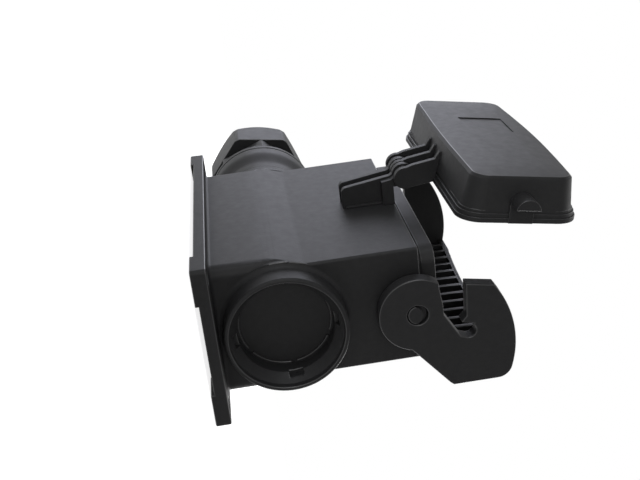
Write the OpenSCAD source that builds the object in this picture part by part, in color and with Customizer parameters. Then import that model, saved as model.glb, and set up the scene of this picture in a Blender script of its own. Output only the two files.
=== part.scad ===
// Surface-mounting housing for a rectangular heavy duty connector.
// X runs along the cable entries, Y across the box, Z out of the mouth.
// The origin is the middle of the mounting face, under the four corner pads.

/* [Housing] */
// Length of the box between its end walls
body_l = 99; // [92:1:116]
// Width of the box below the rim
body_w = 43; // [40:1:52]
// Width of the swollen base around the cable entries
base_w = 49; // [47:0.5:54]
// Height of the shoulder that a mated hood rests over
shoulder_z = 77.2; // [70:0.1:90]
// Height of the rim that stands on the shoulder
rim_h = 6.1; // [4:0.1:8]
// Step from the box wall in to the rim
rim_inset = 2.2; // [1.6:0.1:2.6]
// Wall thickness of the rim, which also sets the cavity
rim_wall = 1.6; // [1.4:0.1:2.2]
// Height at which the base starts to narrow
swell_z0 = 22; // [16:0.5:26]
// Height at which the box has narrowed to its own width
swell_z1 = 38.5; // [34:0.5:48]
// Corner radius of the base
base_r = 4; // [2:0.5:6]
// Corner radius of the rim
rim_r = 6; // [4:0.5:8]
// Thickness of the floor
floor_t = 3.2; // [2:0.1:5]

/* [Mounting flange] */
// Length of the flange
flange_l = 123; // [120:1:150]
// Width of the flange
flange_w = 60; // [58:0.5:70]
// Thickness of the flange plate
flange_t = 4.2; // [3:0.1:6]
// Height of the corner pads under the plate
pad_t = 1.2; // [0.6:0.1:2]
// Side of a corner pad
pad_side = 13; // [12:0.5:16]
// Spacing of the mounting holes along the box
hole_spacing_x = 111; // [108:0.5:114]
// Spacing of the mounting holes across the box
hole_spacing_y = 50; // [48:0.5:51]
// Diameter of a mounting hole
hole_d = 5.5; // [4.5:0.1:6]

/* [Cable entries] */
// Height of the entry axis over the mounting face
entry_z = 28.8; // [27.5:0.1:31]
// Outer diameter of an entry collar
collar_d = 43.2; // [42.6:0.2:45]
// Reach of an entry collar beyond the end wall
collar_reach = 9.4; // [8:0.2:11]
// Diameter of the entry mouth
entry_d = 39.8; // [39:0.1:40.4]
// Depth of the straight mouth of an entry
entry_depth = 2.4; // [1.6:0.1:3]
// Diameter of the bore behind the bayonet ledge
entry_bore_d = 34; // [33.4:0.2:35]
// Diameter inside the bayonet lugs
lug_d = 32; // [30.6:0.2:32.6]
// Number of bayonet lugs
lug_count = 6; // [3:1:8]
// Angle that one lug spans
lug_span = 52; // [34:1:54]
// Thickness of the wall that closes the spare entry
membrane_t = 1.2; // [0.8:0.1:1.6]

/* [Contact insert fixing] */
// Spacing of the insert screws along the box
insert_spacing_x = 77.5; // [70:0.5:80]
// Spacing of the insert screws across the box
insert_spacing_y = 27; // [25:0.5:28]
// Height of the posts that carry the threaded bushes
post_z = 65; // [60:0.5:68]
// Outer diameter of a threaded bush
bush_d = 6; // [5:0.1:6.4]
// Core diameter of the bush thread
bush_core_d = 3.3; // [2.5:0.1:4]
// Length of a threaded bush
bush_l = 9; // [6:0.5:11]

/* [Locking lever] */
// Height of the lever pivot
pivot_z = 74; // [70:0.1:78]
// Diameter of the moulded pivot studs
stud_d = 6.8; // [5:0.1:8]
// Radius of the lever hub
hub_r = 13.5; // [12.5:0.1:14]
// Thickness of a lever arm
arm_t = 5; // [4:0.1:6]
// Gap between the end wall and a lever arm
arm_stand_off = 3.6; // [3.2:0.1:4.4]
// Depth of the grip bar, measured from the lever's outer edge
grip_depth = 6; // [4:0.1:6.4]
// Wall of the grip bar
grip_wall = 1.7; // [1.2:0.1:2.2]
// Spacing of the ribs in the grip bar
rib_pitch = 7; // [5:0.05:10]
// Thickness of a rib
rib_t = 1.7; // [1:0.1:2.4]

/* [Cover] */
// Angle by which the cover stands open
cover_open = 80; // [60:1:110]
// Height of the hinge axis
hinge_z = 81.5; // [80:0.1:84]
// Distance of the hinge axis from the middle of the box
hinge_y = 32; // [30:0.1:36]
// Depth of the cover from its rim to its outer face
cover_h = 17; // [14:0.1:20]
// Wall thickness of the cover
cover_wall = 1.6; // [1.4:0.1:2]
// Wall thickness at the ends of the cover
cover_end_wall = 3; // [2.4:0.1:4]
// Running gap between the cover and the housing rim
cover_gap = 0.4; // [0.3:0.1:0.6]
// Height of the stepped rim of the cover
cover_rim_h = 4.6; // [4.4:0.1:5]
// Lean of the long walls of the cover
cover_lean = 1.65; // [0.5:0.05:2]
// Bow of the cover's free edge
cover_bow = 2; // [0.5:0.1:3]
// Width of a locking peg
peg_w = 8.6; // [7:0.1:9]
// Height of a locking peg
peg_h = 3.7; // [3:0.1:4]
// Height of the peg's flat side over the cover's rim
peg_z = 7.2; // [6:0.1:8]
// Diameter of the hinge pin
pin_d = 3.4; // [2.6:0.1:4]
// Radius of the hinge eyes
eye_r = 4.2; // [3.6:0.1:4.8]
// Thickness of a hinge plate of the cover
plate_t = 2; // [1.6:0.1:2.6]
// Length of the hinge bracket along the box wall
bracket_l = 19.7; // [17:0.1:22]

/* [Gland] */
// Diameter of the adapter where it meets the gland
adapter_d = 47; // [44:0.5:50]
// Length of the adapter outside the collar
adapter_l = 20; // [14:0.5:24]
// Width across flats of the gland body
body_af = 36; // [34:0.5:40]
// Length of the gland body's hexagon
body_hex_l = 21; // [12:0.5:24]
// Width across flats of the dome nut
nut_af = 41; // [36:0.5:44]
// Length of the dome nut's hexagon
nut_hex_l = 21; // [14:0.5:24]
// Length of the rounded end of the dome nut
dome_l = 8; // [5:0.5:12]
// Diameter of the cable hole in the seal
cable_d = 16; // [10:0.5:20]

/* [Fits] */
// Gap between parts that turn on each other
run_gap = 0.2; // [0.15:0.05:0.3]
// Gap between parts that are fitted together
fit_gap = 0.1; // [0.05:0.05:0.2]

/* [Hidden] */
$fn = 96;

black = "#2b2c2f";
rubber = "#1b1b1c";
brass = "#b08d45";
steel = "#9a9da1";

// Housing values
half_l = body_l / 2;
half_w = body_w / 2;
flange_top = pad_t + flange_t;
mouth_z = shoulder_z + rim_h;
rim_l = body_l - 2 * rim_inset;
rim_w = body_w - 2 * rim_inset;
neck_inset = 0.5;
neck_h = 1;
body_r = 1;
flange_r = 1.5;
foot_r = 1.2;
cavity_l = rim_l - 2 * rim_wall;
cavity_w = rim_w - 2 * rim_wall;
cavity_r = rim_r - rim_wall;
cavity_floor = pad_t + floor_t;
lap = 1;
post_web = 26;

// Cable entry values, measured along X from the end wall
mouth_x = collar_reach - entry_depth;
ledge_d = entry_d - 3;
ledge_x0 = mouth_x - 1.7;
ledge_x1 = ledge_x0 - 1.7;
lug_t = 0.8;
end_wall = (body_l - cavity_l) / 2;
bore_end = membrane_t + lug_t - end_wall;
root_r = 2;
near_lip_r = 1;
far_lip_r = 0.2;
notch_span = 16;

// Lever values, in a frame that has the pivot at its origin
arm_inner = half_l + arm_stand_off;
arm_outer = arm_inner + arm_t;
pivot_d = stud_d + 3 * run_gap;
lever_edge = -29.7;
sweep_r = 38.5;
sweep_centre = [-14.5, -4.5];
slot_near = 8;
slot_far = 17.4;
pocket_r = 2.7;
pocket_y = -8.8;
finger_tip = 9.2;
finger_fall = 0.19;
grip_start = 12.5;
grip_hollow = 3;
rib_slope = 0.8;
tip_r = 5.5;
tip_y = lever_edge + tip_r;
tip_z = sweep_centre[1] + sqrt(pow(sweep_r - tip_r, 2) - pow(tip_y - sweep_centre[0], 2));
boss_d = 16;
stud_lead = 1.6;

// Cover values, for the closed cover
rim_lap = 2.95;
cover_z = mouth_z - rim_lap;
cover_in_l = rim_l + 2 * cover_gap;
cover_in_w = rim_w + 2 * cover_gap;
cover_l = cover_in_l + 2 * cover_end_wall;
cover_w = cover_in_w + 2 * cover_wall;
cover_r = rim_r + cover_gap + cover_wall;
cover_step = 0.6;
end_step = 0.35;
cover_crown = 0.6;
face_round = 1.2;
hinge_bow = 1;
cover_wall_z = cover_z + cover_rim_h;
cover_top_z = cover_z + cover_h;
crease_z = cover_top_z - cover_crown;
skirt_l = cover_l - 4 * end_step;
skirt_w = cover_w - 6 * cover_step;
face_l = skirt_l - 1;
face_w = skirt_w - 2 * cover_lean;
seal_t = 0.9;
seal_w = 2.1;
hollow_l = cover_in_l - 2 * seal_w;
hollow_w = cover_in_w - 2 * seal_w;
peg_reach = arm_outer - 0.3;
boss_reach = cover_l / 2 + 0.4;
recess_l = 18.5;
recess_w = 17.6;
recess_x = 12.3;
recess_y = -2.8;

// Hinge values, measured from the middle of the hinge along X
wall_t = 2.4;
mid_gap = plate_t / 2 + run_gap;
wall_x = mid_gap + 0.9;
knuckle_t = 2.8;
knuckle_l = 4.5;
side_x = wall_x + wall_t + knuckle_t + run_gap;
pin_l = 2 * (side_x + plate_t * 0.6);
bracket_z0 = shoulder_z - bracket_l;
bracket_h0 = 8.2;
nose_r = 2;
foot_t = 0.9;
foot_side = 1.2;

// Gland values, measured along X from the end wall
adapter_x0 = collar_reach + fit_gap;
adapter_x1 = adapter_x0 + adapter_l;
gasket_t = 1.2;
body_x0 = adapter_x1 + gasket_t;
body_x1 = body_x0 + body_hex_l;
nut_x0 = body_x1 + 1;
nut_x1 = nut_x0 + nut_hex_l;
neck_d = body_af - 6.4;
thread_d = 31.6;
seal_d = 24;
nut_shelf = 5.5;
body_turn = 39;
nut_turn = 8.9;

// Shapes shared by several parts

// Flat rectangle with round corners, made of true arcs
module round_rect(l, w, r) {
    square([l - 2 * r, w], center = true);
    square([l, w - 2 * r], center = true);
    for (x = [-1, 1], y = [-1, 1])
        translate([x * (l / 2 - r), y * (w / 2 - r)]) circle(r);
}

// Upright block with round corners
module round_block(l, w, r, z0, z1) {
    translate([0, 0, z0]) linear_extrude(z1 - z0) round_rect(l, w, r);
}

// Sideways slab: an outline in Y and Z, spread along X
module side_slab(x0, x1) {
    translate([x0, 0, 0]) rotate([90, 0, 90]) linear_extrude(x1 - x0) children();
}

// A turned shape on an entry axis: children are drawn as [radius, reach from the end wall]
module on_entry(side) {
    translate([side * half_l, 0, entry_z]) rotate([0, side * 90, 0]) rotate_extrude() children();
}

// Ring with a rectangular section, drawn as [radius, reach]
module ring_section(d0, d1, x0, x1) {
    translate([d0 / 2, x0]) square([(d1 - d0) / 2, x1 - x0]);
}

// Turns parts with the cover about the hinge
module at_cover_angle() {
    translate([0, hinge_y, hinge_z])
        rotate([-cover_open, 0, 0])
            translate([0, -hinge_y, -hinge_z]) children();
}

// Housing

// One side of the swell: it bends in from the base's half width to the box's half width
function swell(t) = (base_w - (base_w - body_w) * t * t) / 2;
swell_steps = 12;
swell_side = [for (i = [0:swell_steps])
    let (t = i / swell_steps) [swell(t), swell_z0 + t * (swell_z1 - swell_z0)]];

module swell_outline() {
    right = concat([[base_w / 2, flange_top - lap]], swell_side);
    left = [for (i = [len(right) - 1:-1:0]) [-right[i][0], right[i][1]]];
    polygon(concat(right, left));
}

module base_block() {
    intersection() {
        side_slab(-half_l, half_l) swell_outline();
        round_block(body_l, base_w, base_r, flange_top - lap, swell_z1);
    }
}

// Fillet where the base stands on the flange, drawn as [reach, rise]
foot_section = concat(
    [[-lap, -lap], [foot_r, -lap]],
    [for (a = [0:15:90]) foot_r * [1 - sin(a), 1 - cos(a)]],
    [[-lap, foot_r]]);

module base_foot() {
    straight_l = body_l - 2 * base_r;
    straight_w = base_w - 2 * base_r;
    room = base_r + foot_r + lap;
    translate([0, 0, flange_top]) for (side = [-1, 1]) {
        side_slab(-straight_l / 2, straight_l / 2)
            polygon([for (p = foot_section) [side * (base_w / 2 + p[0]), p[1]]]);
        rotate([90, 0, 0]) linear_extrude(straight_w, center = true)
            polygon([for (p = foot_section) [side * (half_l + p[0]), p[1]]]);
        for (y = [-1, 1])
            translate([side * straight_l / 2, y * straight_w / 2, 0]) intersection() {
                rotate_extrude() polygon([for (p = foot_section) [base_r + p[0], p[1]]]);
                translate([side * room / 2, y * room / 2, 0]) cube([room, room, 2 * room], center = true);
            }
    }
}

module flange_plate() {
    round_block(flange_l, flange_w, flange_r, pad_t, flange_top);
    intersection() {
        round_block(flange_l, flange_w, flange_r, 0, pad_t + lap);
        for (x = [-1, 1], y = [-1, 1])
            translate([x * (flange_l - pad_side) / 2, y * (flange_w - pad_side) / 2, (pad_t + lap) / 2])
                cube([pad_side, pad_side, pad_t + lap], center = true);
    }
}

module collar(side) {
    outer_r = collar_d / 2;
    lip_r = side < 0 ? near_lip_r : far_lip_r;
    on_entry(side) polygon(concat(
        [[0, -end_wall / 2], [outer_r + root_r, -end_wall / 2]],
        [for (a = [0:15:90]) [outer_r + root_r * (1 - sin(a)), root_r * (1 - cos(a))]],
        [for (a = [0:15:90]) [outer_r - lip_r * (1 - cos(a)), collar_reach - lip_r * (1 - sin(a))]],
        [[0, collar_reach]]
    ));
}

// The stepped bore of an entry; a thin wall behind the bayonet lugs closes the spare one
module entry_bore(side, closed) {
    lug_end = closed ? membrane_t - end_wall : -end_wall - lap;
    on_entry(side) polygon([
        [0, bore_end],
        [entry_bore_d / 2, bore_end],
        [entry_bore_d / 2, ledge_x1],
        [ledge_d / 2, ledge_x0],
        [entry_d / 2, mouth_x],
        [entry_d / 2, collar_reach + lap],
        [0, collar_reach + lap]
    ]);
    on_entry(side) ring_section(0, lug_d, lug_end, 0);
    intersection() {
        on_entry(side) ring_section(lug_d - 1, entry_bore_d, lug_end, 0);
        wedges(side, lug_count, 360 / lug_count - lug_span, 180 / lug_count + 5);
    }
    intersection() {
        on_entry(side) ring_section(entry_bore_d - 1, ledge_d, ledge_x1 - 1, ledge_x0);
        wedges(side, 4, notch_span, 5);
    }
}

// Wedges around an entry axis, as wide as an angle
module wedges(side, count, span, first) {
    reach = collar_d / cos(span / 2);
    for (i = [0:count - 1]) {
        middle = first + i * 360 / count;
        side_slab(side > 0 ? 0 : -arm_outer, side > 0 ? arm_outer : 0)
            translate([0, entry_z]) polygon([
                [0, 0],
                reach * [sin(middle - span / 2), cos(middle - span / 2)],
                reach * [sin(middle + span / 2), cos(middle + span / 2)]
            ]);
    }
}

// Boss and stud that carry a lever arm; a crescent on the stud's end leads the arm on
module lever_stud(side) {
    intersection() {
        translate([side * (half_l - lap), 0, pivot_z]) rotate([0, side * 90, 0])
            cylinder(d = boss_d, h = arm_stand_off - run_gap + lap);
        translate([0, 0, shoulder_z / 2]) cube([2 * arm_outer, boss_d, shoulder_z], center = true);
    }
    difference() {
        translate([side * half_l, 0, pivot_z]) rotate([0, side * 90, 0])
            cylinder(d = stud_d, h = arm_stand_off + arm_t);
        translate([side * (arm_outer - stud_lead), 0, pivot_z]) rotate([0, side * 90, 0]) difference() {
            cylinder(d = stud_d + lap, h = stud_lead + lap);
            translate([side * stud_lead, 0, -lap]) cylinder(d = stud_d, h = stud_lead + 3 * lap);
        }
    }
}

module insert_post(x, y) {
    toward = y > 0 ? 1 : -1;
    post_d = bush_d + 3;
    wall_y = toward * (cavity_w / 2 + lap);
    translate([x, y, post_z - bush_l - 2]) cylinder(d = post_d, h = bush_l + 2);
    side_slab(x - post_d / 2, x + post_d / 2)
        polygon([[wall_y, post_z - post_web], [wall_y, post_z], [y, post_z], [y, post_z - bush_l - 2]]);
}

module housing_shell() color(black) {
    difference() {
        union() {
            flange_plate();
            base_block();
            base_foot();
            round_block(body_l, body_w, body_r, swell_z1 - lap, shoulder_z);
            round_block(rim_l - 2 * neck_inset, rim_w - 2 * neck_inset, rim_r, shoulder_z - lap, mouth_z - lap);
            round_block(rim_l, rim_w, rim_r, shoulder_z + neck_h, mouth_z);
            for (side = [-1, 1]) {
                collar(side);
                lever_stud(side);
            }
        }
        difference() {
            round_block(cavity_l, cavity_w, cavity_r, cavity_floor, mouth_z + lap);
            for (x = [-1, 1], y = [-1, 1])
                insert_post(x * insert_spacing_x / 2, y * insert_spacing_y / 2);
        }
        for (x = [-1, 1], y = [-1, 1])
            translate([x * insert_spacing_x / 2, y * insert_spacing_y / 2, post_z - bush_l])
                cylinder(d = bush_d + fit_gap, h = bush_l + lap);
        entry_bore(-1, true);
        entry_bore(1, false);
        for (x = [-1, 1], y = [-1, 1])
            translate([x * hole_spacing_x / 2, y * hole_spacing_y / 2, -lap])
                cylinder(d = hole_d, h = flange_top + 2 * lap);
    }
}

module insert_bushes() color(brass) {
    for (x = [-1, 1], y = [-1, 1])
        translate([x * insert_spacing_x / 2, y * insert_spacing_y / 2, post_z - bush_l])
            difference() {
                cylinder(d = bush_d, h = bush_l);
                translate([0, 0, -lap]) cylinder(d = bush_core_d, h = bush_l + 2 * lap);
            }
}

// Hinge

// Outline of one bracket wall: a low blunt nose that sweeps up to the hinge eye
module bracket_outline(drop) {
    top_z = shoulder_z - 1.5;
    end_r = eye_r - drop;
    rise = [for (i = [0:8]) let (t = i / 8)
        [hinge_y - drop + (end_r - 0.2 + drop) * (1 - cos(180 * t)) / 2, top_z + t * (hinge_z - top_z)]];
    polygon(concat(
        [[half_w, bracket_z0], [half_w, shoulder_z], [hinge_y - end_r, shoulder_z], [hinge_y - end_r, hinge_z]],
        [for (i = [8:-1:0]) rise[i]],
        [for (a = [90:-15:0]) [half_w + bracket_h0 - drop - nose_r * (1 - sin(a)), bracket_z0 + nose_r * (1 - cos(a))]]
    ));
    translate([hinge_y, hinge_z]) circle(end_r);
}

// The hinge end of a wall, thickened to a knuckle
module bracket_knuckle() {
    intersection() {
        bracket_outline(0.7);
        translate([0, shoulder_z - knuckle_l]) square([2 * hinge_y, 4 * eye_r]);
    }
}

module hinge_bracket() color(black) {
    foot_l = bracket_l - foot_side;
    difference() {
        union() {
            for (side = [-1, 1]) {
                side_slab(side * wall_x - (side < 0 ? wall_t : 0), side * wall_x + (side > 0 ? wall_t : 0))
                    bracket_outline(0);
                side_slab(side > 0 ? wall_x + lap : run_gap - side_x, side > 0 ? side_x - run_gap : -wall_x - lap)
                    bracket_knuckle();
            }
            translate([0, half_w + foot_t / 2, shoulder_z - foot_l / 2])
                cube([2 * (wall_x + wall_t + foot_side), foot_t, foot_l], center = true);
        }
        translate([-side_x - lap, hinge_y, hinge_z]) rotate([0, 90, 0])
            cylinder(d = pin_d, h = 2 * (side_x + lap));
    }
}

module hinge_pin() color(steel) {
    translate([-pin_l / 2, hinge_y, hinge_z]) rotate([0, 90, 0]) cylinder(d = pin_d, h = pin_l);
}

// Cover

// Outline of the cover: arcs at the corners, with the long edges bowed outward
function bowed(p, l, bow, back) = p + [0, (p[1] < 0 ? -bow : back) * cos(180 * p[0] / l)];
function cover_corner(l, w, r, x, y, from) =
    [for (a = [0:10:90]) [x * (l / 2 - r) + r * cos(from + a), y * (w / 2 - r) + r * sin(from + a)]];
function long_edge(l, w, r, y) = [for (i = [1:11]) [y * (l / 2 - r) * (1 - i / 6), y * w / 2]];
function cover_points(l, w, r, bow, back) = [for (p = concat(
    cover_corner(l, w, r, 1, 1, 0),
    long_edge(l, w, r, 1),
    cover_corner(l, w, r, -1, 1, 90),
    cover_corner(l, w, r, -1, -1, 180),
    long_edge(l, w, r, -1),
    cover_corner(l, w, r, 1, -1, 270))) bowed(p, l, bow, back)];

module cover_slice(l, w, r, bow, back, z, h) {
    translate([0, 0, z]) linear_extrude(h) polygon(cover_points(l, w, r, bow, back));
}

module cover_shell() {
    rim_part = cover_rim_h / 3;
    for (i = [0:2])
        cover_slice(cover_l - 2 * i * end_step, cover_w - 2 * i * cover_step, cover_r - 0.3 * i, cover_bow, 0,
                    cover_z + i * rim_part, rim_part + (i < 2 ? 0.2 : -0.3));
    hull() {
        cover_slice(skirt_l, skirt_w, cover_r - 1, cover_bow, hinge_bow, cover_wall_z - 0.4, 0.1);
        cover_slice(face_l, face_w, cover_r - 2.4, cover_bow, hinge_bow, crease_z - face_round, 0.1);
        cover_slice(face_l - face_round, face_w - 1.6 * face_round, cover_r - 2.8, cover_bow, hinge_bow,
                    crease_z - 0.1, 0.1);
        cover_slice(face_l * 0.7, face_w * 0.5, cover_r - 2.4, cover_bow / 2, 0, cover_top_z - 0.1, 0.1);
    }
}

module cover_hollow() {
    round_block(cover_in_l, cover_in_w, rim_r + cover_gap, cover_z - lap, mouth_z + seal_t);
    hull() {
        cover_slice(hollow_l, hollow_w, rim_r - 1, 0, 0, mouth_z + seal_t - 0.3, 0.1);
        cover_slice(hollow_l - 1, hollow_w - 2 * cover_lean, rim_r - 1, 0, 0, crease_z - 1.9, 0.1);
    }
}

// Shallow bare field on the outer face
module face_recess() {
    translate([recess_x, recess_y, crease_z + 0.15 + lap])
        cube([recess_l, recess_w, 2 * lap], center = true);
}

// Locking peg on an end wall: a half-round catch over a plain boss
module cover_peg(side) {
    root = cover_l / 2 - cover_end_wall / 2;
    x0 = side > 0 ? root : -peg_reach;
    x1 = side > 0 ? peg_reach : -root;
    round_r = (peg_w * peg_w / 4 + peg_h * peg_h) / (2 * peg_h);
    side_slab(x0, x1) intersection() {
        translate([0, cover_z + peg_z + peg_h - round_r]) circle(round_r);
        translate([-peg_w / 2, cover_z + peg_z]) square([peg_w, peg_h + lap]);
    }
    b0 = side > 0 ? root : -boss_reach;
    b1 = side > 0 ? boss_reach : -root;
    side_slab(b0, b1)
        translate([-peg_w / 2, cover_z]) square([peg_w, peg_z + 0.5]);
}

// Hinge plate: an eye on the pin that widens to the cover's long wall
module hinge_plate(x0, x1) {
    rim_y = (cover_w - cover_wall) / 2;
    root_y = face_w / 2 - 0.4;
    root_z = cover_top_z - 5;
    side_slab(x0, x1) {
        translate([hinge_y, hinge_z]) circle(eye_r);
        polygon([
            [hinge_y, hinge_z - eye_r],
            [hinge_y, hinge_z + eye_r],
            [hinge_y - eye_r / 2, hinge_z + eye_r * 1.26],
            [rim_y + 1, hinge_z + eye_r * 1.9],
            [skirt_w / 2 + 0.6, root_z],
            [root_y, root_z],
            [root_y, cover_wall_z - 0.4],
            [rim_y, cover_wall_z - 0.4],
            [rim_y, cover_z + 0.4]
        ]);
    }
}

module cover() color(black) at_cover_angle() {
    difference() {
        union() {
            difference() {
                cover_shell();
                cover_hollow();
                face_recess();
            }
            for (side = [-1, 1]) cover_peg(side);
            hinge_plate(-plate_t / 2, plate_t / 2);
            hinge_plate(-side_x - plate_t, -side_x);
            hinge_plate(side_x, side_x + plate_t);
        }
        translate([-pin_l / 2 - run_gap, hinge_y, hinge_z]) rotate([0, 90, 0])
            cylinder(d = pin_d + 2 * run_gap, h = pin_l + 2 * run_gap);
    }
}

module cover_seal() color(rubber) at_cover_angle() {
    translate([0, 0, mouth_z]) linear_extrude(seal_t) difference() {
        round_rect(cover_in_l - 2 * fit_gap, cover_in_w - 2 * fit_gap, rim_r + cover_gap);
        round_rect(hollow_l, hollow_w, rim_r - 1);
    }
}

// Locking lever

// Arm outline without its slot: a hub that runs out into a broad hook with one long swept edge
module hook_outline() {
    tip = sweep_centre + ([tip_y, tip_z] - sweep_centre) * sweep_r / (sweep_r - tip_r);
    circle(hub_r);
    translate([tip_y, tip_z]) circle(tip_r);
    intersection() {
        translate(sweep_centre) circle(sweep_r, $fn = 180);
        polygon([[-hub_r + 0.3, -2.9], [lever_edge + 1.2, 9.7], [lever_edge, 11], [lever_edge, tip_z], tip,
                 [tip[0], sweep_r], [finger_tip - finger_fall * (sweep_r - slot_far), sweep_r],
                 [finger_tip, slot_far], [finger_tip, 0], [0, 0]]);
    }
}

// Open slot that takes a peg, with a slanted run into a round pocket behind a small tooth
module peg_slot() {
    pocket_end = pocket_y - pocket_r;
    polygon([[hub_r + 1, slot_near], [hub_r - 4.3, slot_near], [hub_r - 11.1, slot_near + 1], [pocket_y + 7.4, slot_near + 1.1],
             [pocket_end + 1, slot_far - 3], [pocket_end, slot_far - 0.6], [pocket_y + 2.4, slot_far + 2],
             [pocket_y + 3.6, slot_far - 2.4], [pocket_y + 5.8, slot_far - 0.5], [hub_r + 1, slot_far]]);
    translate([pocket_y, slot_far]) circle(pocket_r);
}

module lever_arm(side) {
    x0 = side > 0 ? arm_inner : -arm_outer;
    side_slab(x0, x0 + arm_t) difference() {
        hook_outline();
        peg_slot();
        circle(d = pivot_d);
    }
}

// Grip bar: a trough open to the box, stiffened by a row of cross ribs
module grip_section(d0, d1, z0) {
    intersection() {
        hook_outline();
        translate([lever_edge + d0, z0]) square([d1 - d0, sweep_r]);
    }
}

// Section of the trough, with a wall left all round
module trough_section(wall) {
    z0 = grip_start + wall;
    translate([lever_edge + wall, z0]) square([grip_depth + lap, tip_z - z0]);
    translate([tip_y, z0]) square([grip_depth + lap, tip_z + tip_r - wall - z0]);
    translate([tip_y, tip_z]) circle(tip_r - wall);
}

// A rib stands a little higher at the hub's side
module rib_section() {
    top = lever_edge + grip_depth;
    intersection() {
        trough_section(grip_wall / 2);
        polygon([[lever_edge, grip_start], [top + rib_slope, grip_start], [top - 0.1, tip_z + tip_r], [lever_edge, tip_z + tip_r]]);
    }
}

// The round shape that hollows the lip of the grip bar
module lip_hollow(wall) {
    hollow_r = (arm_inner * arm_inner + grip_hollow * grip_hollow) / (2 * grip_hollow);
    translate([0, lever_edge - lap, sweep_r + sweep_centre[1] + hollow_r - grip_hollow]) rotate([-90, 0, 0])
        cylinder(r = hollow_r + wall, h = grip_depth + 3 * lap, $fn = 720);
}

module grip_bar() {
    ribs = floor((arm_inner - rib_t) / rib_pitch);
    difference() {
        union() {
            difference() {
                side_slab(-arm_inner - lap, arm_inner + lap) grip_section(0, grip_depth, grip_start);
                difference() {
                    side_slab(-arm_inner, arm_inner) trough_section(grip_wall);
                    lip_hollow(grip_wall);
                }
            }
            for (i = [-ribs:ribs])
                side_slab(i * rib_pitch - rib_t / 2, i * rib_pitch + rib_t / 2) rib_section();
        }
        lip_hollow(0);
    }
}

module locking_lever() color(black) translate([0, 0, pivot_z]) {
    for (side = [-1, 1]) lever_arm(side);
    grip_bar();
}

// Gland on the far entry

module entry_adapter() color(black) {
    flare = [for (i = [0:8]) let (t = i / 8)
        [(collar_d + (adapter_d - collar_d) * (1 - cos(180 * t)) / 2) / 2, adapter_x0 + adapter_l * (0.2 + 0.55 * t)]];
    on_entry(1) polygon(concat(
        [[thread_d / 2, ledge_x1 - 3], [entry_bore_d / 2 - fit_gap, ledge_x1 - 3],
         [entry_bore_d / 2 - fit_gap, mouth_x],
         [entry_d / 2 - fit_gap, mouth_x], [entry_d / 2 - fit_gap, adapter_x0],
         [collar_d / 2, adapter_x0]],
        flare,
        [[adapter_d / 2, adapter_x1], [thread_d / 2, adapter_x1]]
    ));
}

module adapter_seal() color(rubber) {
    ring_r = 0.75;
    on_entry(1)
        translate([entry_bore_d / 2 - fit_gap / 2 + ring_r, mouth_x - fit_gap / 2 - ring_r])
            circle(ring_r, $fn = 32);
}

module gland_gasket() color(rubber) {
    on_entry(1) ring_section(thread_d, adapter_d - 5, adapter_x1, body_x0);
}

module hex_block(af, turn, x0, x1) {
    translate([half_l + x0, 0, entry_z]) rotate([0, 90, 0]) rotate([0, 0, turn])
        cylinder(d = af / cos(30), h = x1 - x0, $fn = 6);
}

module gland_body() color(black) {
    difference() {
        union() {
            on_entry(1) ring_section(0, thread_d - 2 * fit_gap, adapter_x0, body_x0 + lap);
            on_entry(1) ring_section(0, adapter_d, body_x0, body_x0 + 2.5);
            hex_block(body_af, body_turn, body_x0, body_x1);
            on_entry(1) ring_section(0, neck_d, body_x1 - lap, nut_x1 - 8);
        }
        on_entry(1) ring_section(0, seal_d, adapter_x0 - lap, nut_x1);
    }
}

module gland_seal() color(rubber) {
    on_entry(1) ring_section(cable_d, seal_d - 2 * fit_gap, body_x1, nut_x1 - 6);
}

module gland_nut() color(black) {
    inner_d = neck_d + 2 * fit_gap;
    dome_d = nut_af - 1;
    hole_end_d = seal_d - 3;
    difference() {
        union() {
            intersection() {
                hex_block(nut_af, nut_turn, nut_x0, nut_x1);
                on_entry(1) polygon([[0, nut_x0], [nut_af * 0.56, nut_x0], [nut_af * 0.56, nut_x1 - 4],
                                     [nut_af * 0.5, nut_x1], [0, nut_x1]]);
            }
            on_entry(1) polygon(concat(
                [[0, nut_x1 - lap], [dome_d / 2, nut_x1 - lap]],
                [for (a = [0:15:75]) [hole_end_d / 2 + 2 + (dome_d / 2 - hole_end_d / 2 - 2) * cos(a), nut_x1 + dome_l * sin(a)]],
                [[hole_end_d / 2 + 2, nut_x1 + dome_l], [0, nut_x1 + dome_l]]
            ));
        }
        on_entry(1) ring_section(0, inner_d, nut_x0 - lap, nut_x1 - nut_shelf);
        on_entry(1) ring_section(0, hole_end_d, nut_x0, nut_x1 + dome_l + lap);
    }
}

housing_shell();
insert_bushes();
hinge_bracket();
hinge_pin();
cover();
cover_seal();
locking_lever();
entry_adapter();
adapter_seal();
gland_gasket();
gland_body();
gland_seal();
gland_nut();
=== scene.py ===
"""Looks for a moulded connector housing with a hinged cover, a locking lever and a cable gland."""

import math

import bmesh
import bpy
from bpy.props import FloatProperty, FloatVectorProperty, IntProperty, PointerProperty
from bpy.types import Operator, Panel, PropertyGroup
from mathutils import Matrix, Vector


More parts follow.
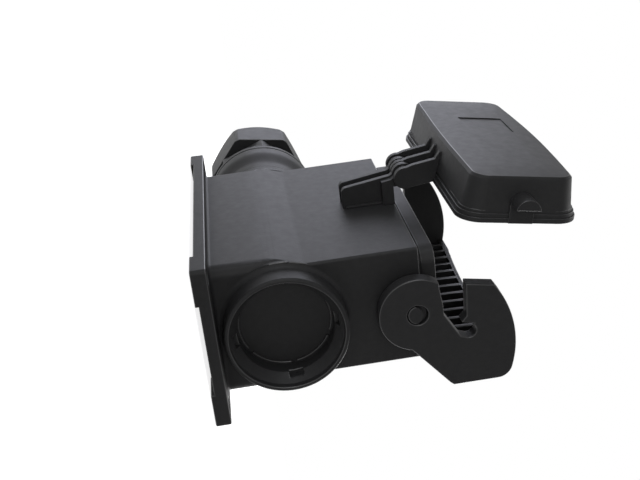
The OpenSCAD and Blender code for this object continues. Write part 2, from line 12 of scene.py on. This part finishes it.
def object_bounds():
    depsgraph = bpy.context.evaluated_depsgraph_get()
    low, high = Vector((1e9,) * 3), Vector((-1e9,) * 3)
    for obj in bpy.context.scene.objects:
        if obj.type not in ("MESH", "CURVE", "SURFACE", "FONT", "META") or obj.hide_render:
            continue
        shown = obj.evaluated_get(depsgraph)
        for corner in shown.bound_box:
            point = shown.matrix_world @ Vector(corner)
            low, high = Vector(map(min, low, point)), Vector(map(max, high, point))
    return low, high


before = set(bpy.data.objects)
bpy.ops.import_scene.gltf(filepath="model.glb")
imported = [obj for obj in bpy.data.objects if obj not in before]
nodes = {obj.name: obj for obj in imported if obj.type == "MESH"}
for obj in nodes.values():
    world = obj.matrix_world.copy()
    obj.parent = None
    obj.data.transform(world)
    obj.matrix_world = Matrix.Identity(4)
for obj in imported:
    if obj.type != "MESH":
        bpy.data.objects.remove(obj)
cad_low, cad_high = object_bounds()

bl_info = {
    "name": "Connector Housing Looks",
    "version": (1, 0, 0),
    "blender": (4, 5, 0),
    "location": "View3D > Sidebar > Connector",
    "description": "Dresses a packed connector housing with moulded plastic, rubber, brass and steel",
    "category": "Object",
}

# Camera and floor, in metres apart from the sensor
SENSOR_WIDTH_MM = 36.0
CLIP_START = 0.01
CAMERA_RIGHT = (-0.1138, -0.1092, 0.9875)
CAMERA_AHEAD = (0.9158, -0.3968, 0.0616)
PART_MIDDLE = (0.0, 0.0, 0.06)
FLOOR_HALF = 3.0
FLOOR_DROP = 0.0002
FLOOR_GREY = (0.86, 0.86, 0.86, 1)
WHITE = (1, 1, 1, 1)

# Clean-up of a mesh before its edges are rounded, and its shading afterwards
WELD_DISTANCE = 0.000005
FLAT_ANGLE = math.radians(0.6)
EVEN_WEIGHT = 50

# The stretch of a noise that is used, and where the nodes of a finish sit in the editor
NOISE_LOW = 0.3
NOISE_HIGH = 0.7
TONE_SPOT = (-760, 260)
ROUGH_SPOT = (-760, -60)
RELIEF_SPOT = (-760, -360)


class FinishSettings(PropertyGroup):
    """Colours and surface values of the finishes."""

    plastic_colour: FloatVectorProperty(
        name="Plastic", description="Colour of the moulded plastic",
        subtype="COLOR", size=3, min=0, max=1, default=(0.0127, 0.0127, 0.013))
    rubber_colour: FloatVectorProperty(
        name="Rubber", description="Colour of the seals",
        subtype="COLOR", size=3, min=0, max=1, default=(0.009, 0.009, 0.0095))
    brass_colour: FloatVectorProperty(
        name="Brass", description="Colour of the threaded bushes",
        subtype="COLOR", size=3, min=0, max=1, default=(0.62, 0.43, 0.17))
    steel_colour: FloatVectorProperty(
        name="Steel", description="Colour of the hinge pin",
        subtype="COLOR", size=3, min=0, max=1, default=(0.46, 0.47, 0.49))
    plastic_roughness: FloatProperty(
        name="Plastic roughness", description="Middle roughness of the moulded plastic",
        default=0.5, min=0, max=1, subtype="FACTOR")
    plastic_gloss: FloatProperty(
        name="Plastic gloss", description="Specular level of the moulded plastic",
        default=0.1, min=0, max=1, subtype="FACTOR")
    rubber_gloss: FloatProperty(
        name="Rubber gloss", description="Specular level of the seals",
        default=0.06, min=0, max=1, subtype="FACTOR")
    edge_roughness: FloatProperty(
        name="Edge roughness", description="Roughness of the smooth plastic on the rounded edges",
        default=0.36, min=0, max=1, subtype="FACTOR")
    edge_gloss: FloatProperty(
        name="Edge gloss", description="Specular level of the smooth plastic on the rounded edges",
        default=0.35, min=0, max=1, subtype="FACTOR")
    grain_size: FloatProperty(
        name="Grain size", description="Spacing of the fine grain on the moulded faces",
        default=0.0006, min=0.0001, max=0.005, unit="LENGTH", precision=5)


class EdgeSettings(PropertyGroup):
    """How the edges of the parts are rounded."""

    housing_edge: FloatProperty(
        name="Housing edge", description="Width of the rounding on the housing's edges",
        default=0.00035, min=0, max=0.002, unit="LENGTH", precision=5)
    lever_edge: FloatProperty(
        name="Lever edge", description="Width of the rounding on the lever's edges",
        default=0.00035, min=0, max=0.002, unit="LENGTH", precision=5)
    lever_join: FloatProperty(
        name="Lever join",
        description="Corners of the lever closer than this are joined before the rounding",
        default=0.0002, min=0, max=0.001, unit="LENGTH", precision=5)
    cover_edge: FloatProperty(
        name="Cover edge", description="Width of the rounding on the cover's edges",
        default=0.00012, min=0, max=0.002, unit="LENGTH", precision=5)
    crown_edge: FloatProperty(
        name="Crown edge",
        description="Width of the rounding on the upper edge of the slope round the cover",
        default=0.00014, min=0, max=0.002, unit="LENGTH", precision=5)
    crown_angle: FloatProperty(
        name="Crown angle",
        description="Edges round the cover's top sharper than this angle are rounded",
        default=math.radians(40), min=0, max=math.pi, unit="ROTATION")
    crown_width: FloatProperty(
        name="Crown width",
        description="Edges round the cover's top beside a narrower face stay as they are",
        default=0.0009, min=0, max=0.01, unit="LENGTH", precision=5)
    gland_edge: FloatProperty(
        name="Gland edge", description="Width of the rounding on the gland's edges",
        default=0.00035, min=0, max=0.002, unit="LENGTH", precision=5)
    small_edge: FloatProperty(
        name="Small part edge", description="Width of the rounding on small parts",
        default=0.00015, min=0, max=0.001, unit="LENGTH", precision=5)
    segments: IntProperty(
        name="Segments", description="Faces across one rounded edge",
        default=3, min=1, max=6)
    round_angle: FloatProperty(
        name="Round angle", description="Edges sharper than this angle are rounded",
        default=math.radians(65), min=0, max=math.pi, unit="ROTATION")
    least_face: FloatProperty(
        name="Least face", description="Edges beside a face smaller than this area stay as they are",
        default=0.000001, min=0, max=0.0001, precision=8)
    least_width: FloatProperty(
        name="Least width", description="Edges beside a face narrower than this stay as they are",
        default=0.0005, min=0, max=0.01, unit="LENGTH", precision=5)
    smooth_angle: FloatProperty(
        name="Smooth angle", description="Faces that meet at less than this angle shade as one curve",
        default=math.radians(32), min=0, max=math.pi, unit="ROTATION")


class StageSettings(PropertyGroup):
    """Camera, floor and lights."""

    lens: FloatProperty(
        name="Lens", description="Focal length of the camera in millimetres",
        default=56.11, min=10, max=300, unit="CAMERA")
    camera_place: FloatVectorProperty(
        name="Camera", description="Place of the camera",
        size=3, default=(-0.35722, 0.16286, 0.02357), subtype="TRANSLATION", unit="LENGTH")
    key_power: FloatProperty(
        name="Key light", description="Power of the large soft light behind the part in watts",
        default=2.75, min=0, max=200)
    top_power: FloatProperty(
        name="Top light", description="Power of the small light that picks out the edges in watts",
        default=4.5, min=0, max=200)
    fill_power: FloatProperty(
        name="Fill light", description="Power of the low fill light on the camera's side in watts",
        default=3.8, min=0, max=200)
    side_power: FloatProperty(
        name="Side light", description="Power of the soft light on the lever's side in watts",
        default=7.0, min=0, max=200)
    ceiling_power: FloatProperty(
        name="Ceiling light", description="Power of the soft light above the mouth in watts",
        default=3.0, min=0, max=200)
    ambient: FloatProperty(
        name="Ambient", description="Strength of the surrounding light",
        default=0.25, min=0, max=2)
    floor_white: FloatProperty(
        name="Floor white",
        description="White that the camera sees on the floor before any light falls on it",
        default=0.8, min=0, max=1, subtype="FACTOR")


def add_node(tree, kind, place, **values):
    """Adds a node with its input values set by socket name."""
    node = tree.nodes.new(kind)
    node.location = place
    for socket, value in values.items():
        node.inputs[socket.replace("_", " ")].default_value = value
    return node


def new_material(name):
    """A fresh material with its principled shader and object coordinates."""
    material = bpy.data.materials.new(name)
    material.use_nodes = True
    tree = material.node_tree
    shader = tree.nodes["Principled BSDF"]
    coords = add_node(tree, "ShaderNodeTexCoord", (-1000, 0))
    return material, tree, shader, coords


def scaled(colour, factor):
    """The colour made lighter or darker."""
    return tuple(min(1.0, part * factor) for part in colour)


def two_tone(tree, coords, shader, colour, scale, detail, dark, light):
    """A soft noise that runs between a darker and a lighter shade of a colour."""
    x, y = TONE_SPOT
    noise = add_node(tree, "ShaderNodeTexNoise", (x, y), Scale=scale, Detail=detail, Roughness=0.6)
    ramp = add_node(tree, "ShaderNodeValToRGB", (x + 200, y))
    low, high = ramp.color_ramp.elements
    low.position = NOISE_LOW
    low.color = (*scaled(colour, dark), 1)
    high.position = NOISE_HIGH
    high.color = (*scaled(colour, light), 1)
    tree.links.new(coords.outputs["Object"], noise.inputs["Vector"])
    tree.links.new(noise.outputs["Fac"], ramp.inputs["Fac"])
    tree.links.new(ramp.outputs["Color"], shader.inputs["Base Color"])


def uneven_polish(tree, coords, shader, scale, smooth, dull):
    """A roughness that wanders between two values."""
    x, y = ROUGH_SPOT
    noise = add_node(tree, "ShaderNodeTexNoise", (x, y), Scale=scale, Detail=3.0, Roughness=0.55)
    spread = add_node(tree, "ShaderNodeMapRange", (x + 200, y), From_Min=NOISE_LOW, From_Max=NOISE_HIGH)
    spread.inputs["To Min"].default_value = smooth
    spread.inputs["To Max"].default_value = dull
    tree.links.new(coords.outputs["Object"], noise.inputs["Vector"])
    tree.links.new(noise.outputs["Fac"], spread.inputs["Value"])
    tree.links.new(spread.outputs["Result"], shader.inputs["Roughness"])


def fine_relief(tree, coords, shader, scale, strength, depth):
    """Fine surface relief from a noise."""
    x, y = RELIEF_SPOT
    noise = add_node(tree, "ShaderNodeTexNoise", (x, y), Scale=scale, Detail=2.0, Roughness=0.5)
    bump = add_node(tree, "ShaderNodeBump", (x + 200, y), Strength=strength, Distance=depth)
    tree.links.new(coords.outputs["Object"], noise.inputs["Vector"])
    tree.links.new(noise.outputs["Fac"], bump.inputs["Height"])
    tree.links.new(bump.outputs["Normal"], shader.inputs["Normal"])


def plastic_tone(tree, coords, shader, finish):
    """The slightly uneven black that all the mouldings share."""
    colour = tuple(finish.plastic_colour)
    two_tone(tree, coords, shader, colour, scale=420.0, detail=4.0, dark=0.92, light=1.09)


def moulded_plastic(finish):
    """Matte black plastic with a fine moulded grain."""
    material, tree, shader, coords = new_material("moulded_black_plastic")
    middle = finish.plastic_roughness
    plastic_tone(tree, coords, shader, finish)
    uneven_polish(tree, coords, shader, scale=320.0, smooth=middle - 0.02, dull=middle + 0.03)
    shader.inputs["Specular IOR Level"].default_value = finish.plastic_gloss
    fine_relief(tree, coords, shader, scale=1.0 / finish.grain_size, strength=0.12, depth=0.0002)
    return material


def edge_plastic(finish):
    """The same plastic on the rounded edges, where the mould leaves it smoother."""
    material, tree, shader, coords = new_material("smooth_edge_plastic")
    middle = finish.edge_roughness
    plastic_tone(tree, coords, shader, finish)
    uneven_polish(tree, coords, shader, scale=320.0, smooth=middle - 0.03, dull=middle + 0.03)
    shader.inputs["Specular IOR Level"].default_value = finish.edge_gloss
    return material


def seal_rubber(finish):
    """Dull black rubber with a faint bloom."""
    material, tree, shader, coords = new_material("seal_rubber")
    colour = tuple(finish.rubber_colour)
    two_tone(tree, coords, shader, colour, scale=120.0, detail=3.0, dark=0.8, light=1.5)
    uneven_polish(tree, coords, shader, scale=140.0, smooth=0.78, dull=0.92)
    shader.inputs["Specular IOR Level"].default_value = finish.rubber_gloss
    fine_relief(tree, coords, shader, scale=2200.0, strength=0.08, depth=0.0001)
    return material


def turned_metal(name, colour, smooth, dull):
    """Turned metal with fine uneven polish."""
    material, tree, shader, coords = new_material(name)
    two_tone(tree, coords, shader, colour, scale=300.0, detail=3.0, dark=0.88, light=1.1)
    uneven_polish(tree, coords, shader, scale=500.0, smooth=smooth, dull=dull)
    shader.inputs["Metallic"].default_value = 1.0
    fine_relief(tree, coords, shader, scale=3000.0, strength=0.06, depth=0.0001)
    return material


def finish_of(kind):
    """The shared material of one finish, made on first use."""
    finish = bpy.context.scene.connector_finish
    names = {
        "plastic": "moulded_black_plastic",
        "edge": "smooth_edge_plastic",
        "rubber": "seal_rubber",
        "brass": "turned_brass",
        "steel": "drawn_steel",
    }
    found = bpy.data.materials.get(names[kind])
    if found:
        return found
    if kind == "plastic":
        return moulded_plastic(finish)
    if kind == "edge":
        return edge_plastic(finish)
    if kind == "rubber":
        return seal_rubber(finish)
    if kind == "brass":
        return turned_metal(names[kind], tuple(finish.brass_colour), smooth=0.24, dull=0.38)
    return turned_metal(names[kind], tuple(finish.steel_colour), smooth=0.22, dull=0.34)


def shade_group():
    """Geometry nodes that shade a mesh smooth up to an angle and keep its corners crisp."""
    name = "shade_by_angle"
    found = bpy.data.node_groups.get(name)
    if found:
        return found
    group = bpy.data.node_groups.new(name, "GeometryNodeTree")
    group.interface.new_socket("Geometry", in_out="INPUT", socket_type="NodeSocketGeometry")
    group.interface.new_socket("Geometry", in_out="OUTPUT", socket_type="NodeSocketGeometry")
    start = add_node(group, "NodeGroupInput", (-600, 0))
    end = add_node(group, "NodeGroupOutput", (600, 0))
    faces = add_node(group, "GeometryNodeSetShadeSmooth", (-100, 0))
    faces.domain = "FACE"
    edges = add_node(group, "GeometryNodeSetShadeSmooth", (250, 0))
    edges.domain = "EDGE"
    edges.inputs["Shade Smooth"].default_value = False
    angle = add_node(group, "GeometryNodeInputMeshEdgeAngle", (-350, -250))
    sharp = add_node(group, "FunctionNodeCompare", (-100, -250))
    sharp.data_type = "FLOAT"
    sharp.operation = "GREATER_THAN"
    sharp.inputs["B"].default_value = bpy.context.scene.connector_edges.smooth_angle
    group.links.new(start.outputs["Geometry"], faces.inputs["Geometry"])
    group.links.new(faces.outputs["Geometry"], edges.inputs["Geometry"])
    group.links.new(angle.outputs["Unsigned Angle"], sharp.inputs["A"])
    group.links.new(sharp.outputs["Result"], edges.inputs["Selection"])
    group.links.new(edges.outputs["Geometry"], end.inputs["Geometry"])
    return group


def face_area_beside(group, side, place):
    """Area of the first or the second face beside an edge."""
    corner = add_node(group, "GeometryNodeCornersOfEdge", place, Sort_Index=side)
    face = add_node(group, "GeometryNodeFaceOfCorner", (place[0] + 180, place[1]))
    area = add_node(group, "GeometryNodeInputMeshFaceArea", (place[0] + 180, place[1] - 120))
    there = add_node(group, "GeometryNodeFieldAtIndex", (place[0] + 360, place[1]))
    there.data_type = "FLOAT"
    there.domain = "FACE"
    group.links.new(corner.outputs["Corner Index"], face.inputs["Corner Index"])
    group.links.new(face.outputs["Face Index"], there.inputs["Index"])
    group.links.new(area.outputs["Area"], there.inputs["Value"])
    return there.outputs["Value"]


def above(group, value, limit, place):
    """One where a value is above a limit, else zero."""
    node = add_node(group, "ShaderNodeMath", place)
    node.operation = "GREATER_THAN"
    node.inputs[1].default_value = limit
    group.links.new(value, node.inputs[0])
    return node.outputs["Value"]


def joined(group, operation, first, second, place):
    """Two values joined by one operation."""
    node = add_node(group, "ShaderNodeMath", place)
    node.operation = operation
    group.links.new(first, node.inputs[0])
    group.links.new(second, node.inputs[1])
    return node.outputs["Value"]


def edge_length(group, place):
    """Length of an edge."""
    ends = add_node(group, "GeometryNodeInputMeshEdgeVertices", place)
    length = add_node(group, "ShaderNodeVectorMath", (place[0] + 200, place[1]))
    length.operation = "DISTANCE"
    group.links.new(ends.outputs["Position 1"], length.inputs[0])
    group.links.new(ends.outputs["Position 2"], length.inputs[1])
    return length.outputs["Value"]


def edge_group(name, round_angle, least_width):
    """Geometry nodes that mark the outer edges between two fair-sized faces for rounding."""
    found = bpy.data.node_groups.get(name)
    if found:
        return found
    settings = bpy.context.scene.connector_edges
    group = bpy.data.node_groups.new(name, "GeometryNodeTree")
    group.interface.new_socket("Geometry", in_out="INPUT", socket_type="NodeSocketGeometry")
    group.interface.new_socket("Geometry", in_out="OUTPUT", socket_type="NodeSocketGeometry")
    start = add_node(group, "NodeGroupInput", (-200, 200))
    end = add_node(group, "NodeGroupOutput", (1200, 200))
    angle = add_node(group, "GeometryNodeInputMeshEdgeAngle", (-200, 0))
    sharp = above(group, angle.outputs["Signed Angle"], round_angle, (100, 0))
    first = face_area_beside(group, 0, (-500, -200))
    second = face_area_beside(group, 1, (-500, -500))
    area = joined(group, "MINIMUM", first, second, (0, -300))
    width = joined(group, "DIVIDE", area, edge_length(group, (-300, -800)), (200, -500))
    large = above(group, area, settings.least_face, (200, -300))
    wide = above(group, width, least_width, (400, -500))
    fair = joined(group, "MULTIPLY", large, wide, (600, -300))
    both = joined(group, "MULTIPLY", sharp, fair, (700, -100))
    store = add_node(group, "GeometryNodeStoreNamedAttribute", (950, 200), Name="bevel_weight_edge")
    store.data_type = "FLOAT"
    store.domain = "EDGE"
    group.links.new(start.outputs["Geometry"], store.inputs["Geometry"])
    group.links.new(both, store.inputs["Value"])
    group.links.new(store.outputs["Geometry"], end.inputs["Geometry"])
    return group


def round_edges(part, name, group, width):
    """Rounds the edges that a node group marks, with the part's last finish on the new faces."""
    mark = part.modifiers.new("mark_" + name, "NODES")
    mark.node_group = group
    bevel = part.modifiers.new("round_" + name, "BEVEL")
    bevel.width = width
    bevel.segments = bpy.context.scene.connector_edges.segments
    bevel.limit_method = "WEIGHT"
    bevel.use_clamp_overlap = False
    if len(part.data.materials) > 1:
        bevel.material = 1


def dress(node_name, kind, edge, join=WELD_DISTANCE, edge_kind=None, crown=0.0):
    """Gives a CAD node its finish and rounds its edges with live modifiers."""
    part = nodes[node_name]
    part.data.materials.clear()
    part.data.materials.append(finish_of(kind))
    if edge_kind:
        part.data.materials.append(finish_of(edge_kind))
    settings = bpy.context.scene.connector_edges
    weld = part.modifiers.new("weld", "WELD")
    weld.merge_threshold = join
    flat = part.modifiers.new("merge_flats", "DECIMATE")
    flat.decimate_type = "DISSOLVE"
    flat.angle_limit = FLAT_ANGLE
    if edge > 0:
        sharp = edge_group("sharp_edges", settings.round_angle, settings.least_width)
        round_edges(part, "edges", sharp, edge)
    if crown > 0:
        slope = edge_group("crown_edges", settings.crown_angle, settings.crown_width)
        round_edges(part, "crown", slope, crown)
    shade = part.modifiers.new("shade", "NODES")
    shade.node_group = shade_group()
    even = part.modifiers.new("even_shading", "WEIGHTED_NORMAL")
    even.mode = "FACE_AREA_WITH_ANGLE"
    even.weight = EVEN_WEIGHT
    even.keep_sharp = True


class CONNECTOR_OT_housing(Operator):
    """Dress the housing shell and its threaded bushes."""

    bl_idname = "connector.dress_housing"
    bl_label = "Housing"

    def execute(self, context):
        edges = context.scene.connector_edges
        dress("housing_shell", "plastic", edges.housing_edge, edge_kind="edge")
        dress("insert_bushes", "brass", edges.small_edge)
        return {"FINISHED"}


class CONNECTOR_OT_hinge(Operator):
    """Dress the hinge bracket and its pin."""

    bl_idname = "connector.dress_hinge"
    bl_label = "Hinge"

    def execute(self, context):
        edges = context.scene.connector_edges
        dress("hinge_bracket", "plastic", edges.small_edge)
        dress("hinge_pin", "steel", edges.small_edge)
        return {"FINISHED"}


class CONNECTOR_OT_cover(Operator):
    """Dress the cover and its seal."""

    bl_idname = "connector.dress_cover"
    bl_label = "Cover"

    def execute(self, context):
        edges = context.scene.connector_edges
        dress("cover", "plastic", edges.cover_edge, edge_kind="edge", crown=edges.crown_edge)
        dress("cover_seal", "rubber", edges.small_edge)
        return {"FINISHED"}


class CONNECTOR_OT_lever(Operator):
    """Dress the locking lever."""

    bl_idname = "connector.dress_lever"
    bl_label = "Locking lever"

    def execute(self, context):
        edges = context.scene.connector_edges
        dress("locking_lever", "plastic", edges.lever_edge, edges.lever_join, edge_kind="edge")
        return {"FINISHED"}


class CONNECTOR_OT_gland(Operator):
    """Dress the adapter, the gland and their seals."""

    bl_idname = "connector.dress_gland"
    bl_label = "Cable gland"

    def execute(self, context):
        edges = context.scene.connector_edges
        for part in ("entry_adapter", "gland_body", "gland_nut"):
            dress(part, "plastic", edges.gland_edge, edge_kind="edge")
        for part in ("adapter_seal", "gland_gasket", "gland_seal"):
            dress(part, "rubber", edges.small_edge)
        return {"FINISHED"}


def white_for_camera(tree, place):
    """One where a ray from the camera, a reflection or a clear part sees the surface, else zero."""
    path = add_node(tree, "ShaderNodeLightPath", place)
    first = add_node(tree, "ShaderNodeMath", (place[0] + 200, place[1]))
    first.operation = "MAXIMUM"
    second = add_node(tree, "ShaderNodeMath", (place[0] + 400, place[1]))
    second.operation = "MAXIMUM"
    tree.links.new(path.outputs["Is Camera Ray"], first.inputs[0])
    tree.links.new(path.outputs["Is Glossy Ray"], first.inputs[1])
    tree.links.new(first.outputs["Value"], second.inputs[0])
    tree.links.new(path.outputs["Is Transmission Ray"], second.inputs[1])
    return second.outputs["Value"]


def make_floor(stage):
    """A wide pale floor that keeps the part's shadow."""
    mesh = bpy.data.meshes.new("studio_floor")
    floor = bpy.data.objects.new("studio_floor", mesh)
    plane = bmesh.new()
    bmesh.ops.create_grid(plane, x_segments=1, y_segments=1, size=FLOOR_HALF)
    bmesh.ops.translate(plane, verts=plane.verts, vec=(0, 0, cad_low[2] - FLOOR_DROP))
    plane.to_mesh(mesh)
    plane.free()
    bpy.context.scene.collection.objects.link(floor)
    material = bpy.data.materials.new("pale_floor")
    material.use_nodes = True
    tree = material.node_tree
    tree.nodes.clear()
    out = add_node(tree, "ShaderNodeOutputMaterial", (600, 0))
    diffuse = add_node(tree, "ShaderNodeBsdfDiffuse", (0, 0), Color=FLOOR_GREY)
    white = add_node(tree, "ShaderNodeEmission", (0, -200), Color=WHITE)
    share = add_node(tree, "ShaderNodeMath", (200, 250))
    share.operation = "MULTIPLY"
    share.inputs[1].default_value = stage.floor_white
    both = add_node(tree, "ShaderNodeAddShader", (400, 0))
    tree.links.new(white_for_camera(tree, (-600, 250)), share.inputs[0])
    tree.links.new(share.outputs["Value"], white.inputs["Strength"])
    tree.links.new(diffuse.outputs["BSDF"], both.inputs[0])
    tree.links.new(white.outputs["Emission"], both.inputs[1])
    tree.links.new(both.outputs["Shader"], out.inputs["Surface"])
    mesh.materials.append(material)


def make_world(stage):
    """White where it is seen, a soft grey where it lights the part."""
    world = bpy.data.worlds.new("studio")
    bpy.context.scene.world = world
    world.use_nodes = True
    tree = world.node_tree
    tree.nodes.clear()
    out = add_node(tree, "ShaderNodeOutputWorld", (600, 0))
    soft = add_node(tree, "ShaderNodeBackground", (0, 0), Color=WHITE, Strength=stage.ambient)
    white = add_node(tree, "ShaderNodeBackground", (0, -200), Color=WHITE, Strength=1.0)
    mix = add_node(tree, "ShaderNodeMixShader", (400, 0))
    tree.links.new(white_for_camera(tree, (-600, 250)), mix.inputs["Fac"])
    tree.links.new(soft.outputs["Background"], mix.inputs[1])
    tree.links.new(white.outputs["Background"], mix.inputs[2])
    tree.links.new(mix.outputs["Shader"], out.inputs["Surface"])


def soft_light(name, power, place, size, colour=(1.0, 1.0, 1.0)):
    """A square area light that faces the middle of the part."""
    lamp = bpy.data.lights.new(name, "AREA")
    lamp.shape = "SQUARE"
    lamp.size = size
    lamp.energy = power
    lamp.color = colour
    light = bpy.data.objects.new(name, lamp)
    way = Vector(PART_MIDDLE) - Vector(place)
    light.rotation_euler = way.to_track_quat("-Z", "Y").to_euler()
    light.location = place
    bpy.context.scene.collection.objects.link(light)


def make_camera(stage):
    """The camera, turned on its side because the part stands on its flange."""
    camera_data = bpy.data.cameras.new("photo_camera")
    camera_data.sensor_fit = "HORIZONTAL"
    camera_data.sensor_width = SENSOR_WIDTH_MM
    camera_data.lens = stage.lens
    camera_data.clip_start = CLIP_START
    camera = bpy.data.objects.new("photo_camera", camera_data)
    right = Vector(CAMERA_RIGHT).normalized()
    ahead = Vector(CAMERA_AHEAD).normalized()
    up = right.cross(ahead).normalized()
    right = ahead.cross(up).normalized()
    turn = Matrix((right, up, -ahead)).transposed().to_4x4()
    camera.matrix_world = Matrix.Translation(Vector(stage.camera_place)) @ turn
    bpy.context.scene.collection.objects.link(camera)
    bpy.context.scene.camera = camera


class CONNECTOR_OT_stage(Operator):
    """Set the floor, the lights, the surroundings and the camera."""

    bl_idname = "connector.set_stage"
    bl_label = "Stage"

    def execute(self, context):
        stage = context.scene.connector_stage
        make_floor(stage)
        make_world(stage)
        soft_light("key_light", stage.key_power, place=(0.63, 0.31, 0.108), size=0.53,
                   colour=(0.84, 0.86, 1.0))
        soft_light("top_light", stage.top_power, place=(-0.3, 0.9, 0.1), size=0.35,
                   colour=(0.94, 0.96, 1.0))
        soft_light("fill_light", stage.fill_power, place=(-0.82, 0.36, 0.02), size=0.3,
                   colour=(1.0, 0.99, 0.98))
        soft_light("side_light", stage.side_power, place=(0.35, -0.9, 0.4), size=0.6)
        soft_light("ceiling_light", stage.ceiling_power, place=(0.2, -0.15, 1.1), size=0.7)
        make_camera(stage)
        context.scene.view_settings.view_transform = "Standard"
        return {"FINISHED"}


class CONNECTOR_PT_panel(Panel):
    """Lists the steps that dress the part."""

    bl_idname = "CONNECTOR_PT_panel"
    bl_label = "Connector housing"
    bl_space_type = "VIEW_3D"
    bl_region_type = "UI"
    bl_category = "Connector"

    def draw(self, context):
        for step in STEPS:
            self.layout.operator(step.bl_idname)


STEPS = (
    CONNECTOR_OT_housing,
    CONNECTOR_OT_hinge,
    CONNECTOR_OT_cover,
    CONNECTOR_OT_lever,
    CONNECTOR_OT_gland,
    CONNECTOR_OT_stage,
)
SETTINGS = (
    ("connector_finish", FinishSettings),
    ("connector_edges", EdgeSettings),
    ("connector_stage", StageSettings),
)


def register():
    for name, group in SETTINGS:
        bpy.utils.register_class(group)
        setattr(bpy.types.Scene, name, PointerProperty(type=group))
    for step in STEPS:
        bpy.utils.register_class(step)
    bpy.utils.register_class(CONNECTOR_PT_panel)


def unregister():
    bpy.utils.unregister_class(CONNECTOR_PT_panel)
    for step in reversed(STEPS):
        bpy.utils.unregister_class(step)
    for name, group in reversed(SETTINGS):
        delattr(bpy.types.Scene, name)
        bpy.utils.unregister_class(group)


def main():
    register()
    bpy.ops.connector.dress_housing()
    bpy.ops.connector.dress_hinge()
    bpy.ops.connector.dress_cover()
    bpy.ops.connector.dress_lever()
    bpy.ops.connector.dress_gland()
    bpy.ops.connector.set_stage()


if __name__ == "__main__":
    main()
